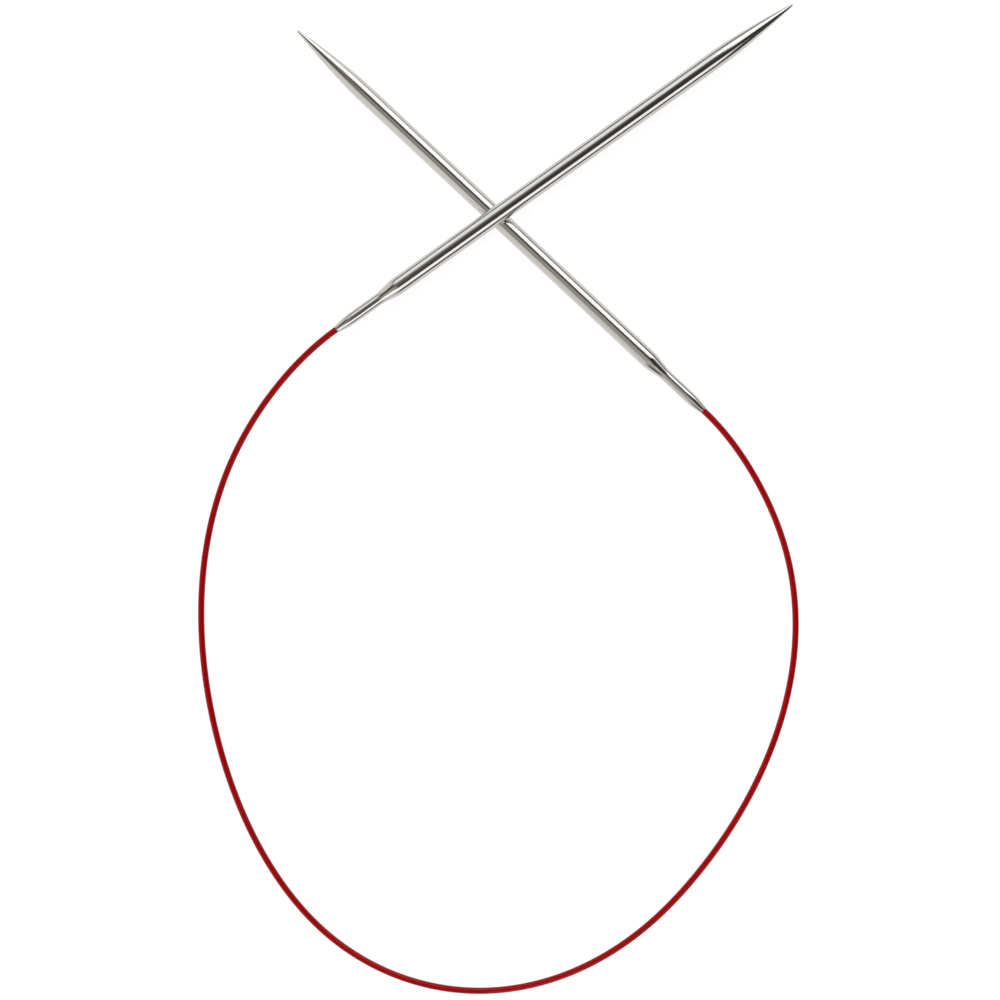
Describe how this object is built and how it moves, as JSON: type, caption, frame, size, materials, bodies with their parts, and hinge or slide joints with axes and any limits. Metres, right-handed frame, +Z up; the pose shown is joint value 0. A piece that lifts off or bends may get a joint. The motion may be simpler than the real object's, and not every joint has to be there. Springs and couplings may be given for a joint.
{
  "type": "circular knitting needle",
  "caption": "Fixed circular knitting needle: tapered steel needle tips joined by a flexible red nylon cable, lying with the tips crossed at the top of the cable's loop.",
  "frame": {"origin": "on the surface that the needle lies on, under the middle of the box around the needle tips", "axes": "+Z up from the surface; +Y from the cable's loop towards the crossed tips; +X to the right of it, along the longer side of the tips' box"},
  "size_m": [0.1339, 0.2199, 0.0082],
  "materials": {
    "needle_steel": "satin polished stainless steel, very fine lengthways drawing marks, brighter at the points",
    "crimp_steel": "plain drawn stainless tube, hidden in the neck",
    "cable_core": "bright twisted strands",
    "cable_jacket": "glossy translucent red nylon over the twisted strands"
  },
  "bodies": {
    "lower_needle": {"lower_shaft": "needle_steel", "lower_point": "needle_steel", "lower_crimp_sleeve": "crimp_steel", "lower_core_end": "cable_core", "lower_jacket_end": "cable_jacket"},
    "upper_needle": {"upper_shaft": "needle_steel", "upper_point": "needle_steel", "upper_crimp_sleeve": "crimp_steel", "upper_core_end": "cable_core", "upper_jacket_end": "cable_jacket"},
    "cable_link_01": {"cable_jacket_01": "cable_jacket", "cable_core_01": "cable_core"},
    "cable_link_02": {"cable_jacket_02": "cable_jacket", "cable_core_02": "cable_core"},
    "cable_link_03": {"cable_jacket_03": "cable_jacket", "cable_core_03": "cable_core"},
    "cable_link_04": {"cable_jacket_04": "cable_jacket", "cable_core_04": "cable_core"},
    "cable_link_05": {"cable_jacket_05": "cable_jacket", "cable_core_05": "cable_core"},
    "cable_link_06": {"cable_jacket_06": "cable_jacket", "cable_core_06": "cable_core"},
    "cable_link_07": {"cable_jacket_07": "cable_jacket", "cable_core_07": "cable_core"},
    "cable_link_08": {"cable_jacket_08": "cable_jacket", "cable_core_08": "cable_core"},
    "cable_link_09": {"cable_jacket_09": "cable_jacket", "cable_core_09": "cable_core"},
    "cable_link_10": {"cable_jacket_10": "cable_jacket", "cable_core_10": "cable_core"},
    "cable_link_11": {"cable_jacket_11": "cable_jacket", "cable_core_11": "cable_core"}
  },
  "joints": [
    {"name": "lower_needle_flex", "type": "hinge", "parent": "cable_link_01", "child": "lower_needle", "pos_m": [0.04214, -0.05199, 0.00181], "axis": [0, 0, -1], "range_deg": [-25, 30], "stiffness_Nm_per_rad": 0.015},
    {"name": "cable_flex_01_02", "type": "hinge", "parent": "cable_link_02", "child": "cable_link_01", "pos_m": [0.05497, -0.07986, 0.00073], "axis": [0, 0, -1], "range_deg": [-5, 28.3], "stiffness_Nm_per_rad": 0.015},
    {"name": "cable_flex_02_03", "type": "hinge", "parent": "cable_link_03", "child": "cable_link_02", "pos_m": [0.05378, -0.11051, 0.00073], "axis": [0, 0, -1], "range_deg": [-4, 22.5], "stiffness_Nm_per_rad": 0.015},
    {"name": "cable_flex_03_04", "type": "hinge", "parent": "cable_link_04", "child": "cable_link_03", "pos_m": [0.04111, -0.13859, 0.00073], "axis": [0, 0, -1], "range_deg": [-3, 17.1], "stiffness_Nm_per_rad": 0.015},
    {"name": "cable_flex_04_05", "type": "hinge", "parent": "cable_link_05", "child": "cable_link_04", "pos_m": [0.02058, -0.16154, 0.00073], "axis": [0, 0, -1], "range_deg": [-4.6, 25.9], "stiffness_Nm_per_rad": 0.015},
    {"name": "cable_flex_05_06", "type": "hinge", "parent": "cable_link_06", "child": "cable_link_05", "pos_m": [-0.00751, -0.17364, 0.00073], "axis": [0, 0, -1], "range_deg": [-6, 34], "stiffness_Nm_per_rad": 0.015},
    {"name": "cable_flex_06_07", "type": "hinge", "parent": "cable_link_06", "child": "cable_link_07", "pos_m": [-0.03757, -0.16861, 0.00073], "axis": [0, 0, 1], "range_deg": [-6.1, 34.4], "stiffness_Nm_per_rad": 0.015},
    {"name": "cable_flex_07_08", "type": "hinge", "parent": "cable_link_07", "child": "cable_link_08", "pos_m": [-0.06007, -0.14792, 0.00073], "axis": [0, 0, 1], "range_deg": [-4.3, 24.2], "stiffness_Nm_per_rad": 0.015},
    {"name": "cable_flex_08_09", "type": "hinge", "parent": "cable_link_08", "child": "cable_link_09", "pos_m": [-0.07239, -0.11968, 0.00095], "axis": [0, 0, 1], "range_deg": [-2.9, 16.4], "stiffness_Nm_per_rad": 0.015},
    {"name": "cable_flex_09_10", "type": "hinge", "parent": "cable_link_09", "child": "cable_link_10", "pos_m": [-0.07632, -0.08909, 0.00266], "axis": [0, 0, 1], "range_deg": [-3.3, 18.4], "stiffness_Nm_per_rad": 0.015},
    {"name": "cable_flex_10_11", "type": "hinge", "parent": "cable_link_10", "child": "cable_link_11", "pos_m": [-0.07057, -0.05887, 0.00488], "axis": [0, 0, 1], "range_deg": [-4.2, 23.8], "stiffness_Nm_per_rad": 0.015},
    {"name": "upper_needle_flex", "type": "hinge", "parent": "cable_link_11", "child": "upper_needle", "pos_m": [-0.0536, -0.03325, 0.00616], "axis": [0, 0, 1], "range_deg": [-25, 30], "stiffness_Nm_per_rad": 0.015}
  ],
  "couplings": [
    {"joint": "cable_flex_01_02", "follows": "cable_flex_05_06", "ratio": 0.83},
    {"joint": "cable_flex_02_03", "follows": "cable_flex_05_06", "ratio": 0.66},
    {"joint": "cable_flex_03_04", "follows": "cable_flex_05_06", "ratio": 0.5},
    {"joint": "cable_flex_04_05", "follows": "cable_flex_05_06", "ratio": 0.76},
    {"joint": "cable_flex_06_07", "follows": "cable_flex_05_06", "ratio": 1.01},
    {"joint": "cable_flex_07_08", "follows": "cable_flex_05_06", "ratio": 0.71},
    {"joint": "cable_flex_08_09", "follows": "cable_flex_05_06", "ratio": 0.48},
    {"joint": "cable_flex_09_10", "follows": "cable_flex_05_06", "ratio": 0.54},
    {"joint": "cable_flex_10_11", "follows": "cable_flex_05_06", "ratio": 0.7}
  ]
}
